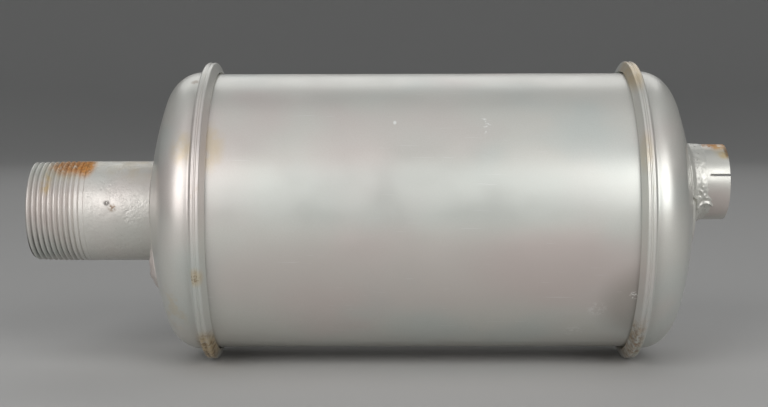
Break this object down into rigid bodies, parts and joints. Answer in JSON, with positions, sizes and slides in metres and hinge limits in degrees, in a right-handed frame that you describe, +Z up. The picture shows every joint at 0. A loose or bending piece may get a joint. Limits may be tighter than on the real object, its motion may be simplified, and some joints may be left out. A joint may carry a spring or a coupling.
{
  "type": "muffler",
  "caption": "Cylindrical sheet-steel muffler with domed ends, rolled seams, a male taper-thread inlet pipe and an off-centre slotted outlet.",
  "frame": {"origin": "centre of the inlet's open end, on the muffler's axis", "axes": "+X along the muffler's axis from the inlet to the outlet, +Z up, towards the side on which the outlet is offset"},
  "size_m": [0.2913, 0.1256, 0.1256],
  "materials": {
    "shell_paint": "satin silver paint",
    "head_paint": "satin silver paint, worn on the seam rings",
    "pipe_paint": "silver paint over rough pipe, rust on the thread",
    "stub_paint": "satin silver paint",
    "weld_paint": "rough, silver paint over weld",
    "bare_steel": "bare mild steel",
    "weld_steel": "bare weld"
  },
  "bodies": {
    "root": {"shell": "shell_paint", "shell_seam_weld": "weld_paint", "inlet_head": "head_paint", "outlet_head": "head_paint", "inlet_collar": "bare_steel", "inlet_nipple": "pipe_paint", "inlet_weld": "weld_paint", "outlet_stub": "stub_paint", "outlet_weld": "weld_paint", "inlet_baffle": "bare_steel", "middle_baffle": "bare_steel", "outlet_baffle": "bare_steel", "inlet_perforated_tube": "bare_steel", "inlet_tube_plug": "bare_steel", "inlet_tube_weld": "weld_steel", "outlet_perforated_tube": "bare_steel", "outlet_tube_plug": "bare_steel", "outlet_tube_weld": "weld_steel", "left_transfer_tube": "bare_steel", "right_transfer_tube": "bare_steel", "tube_tack_welds": "weld_steel"}
  },
  "joints": []
}
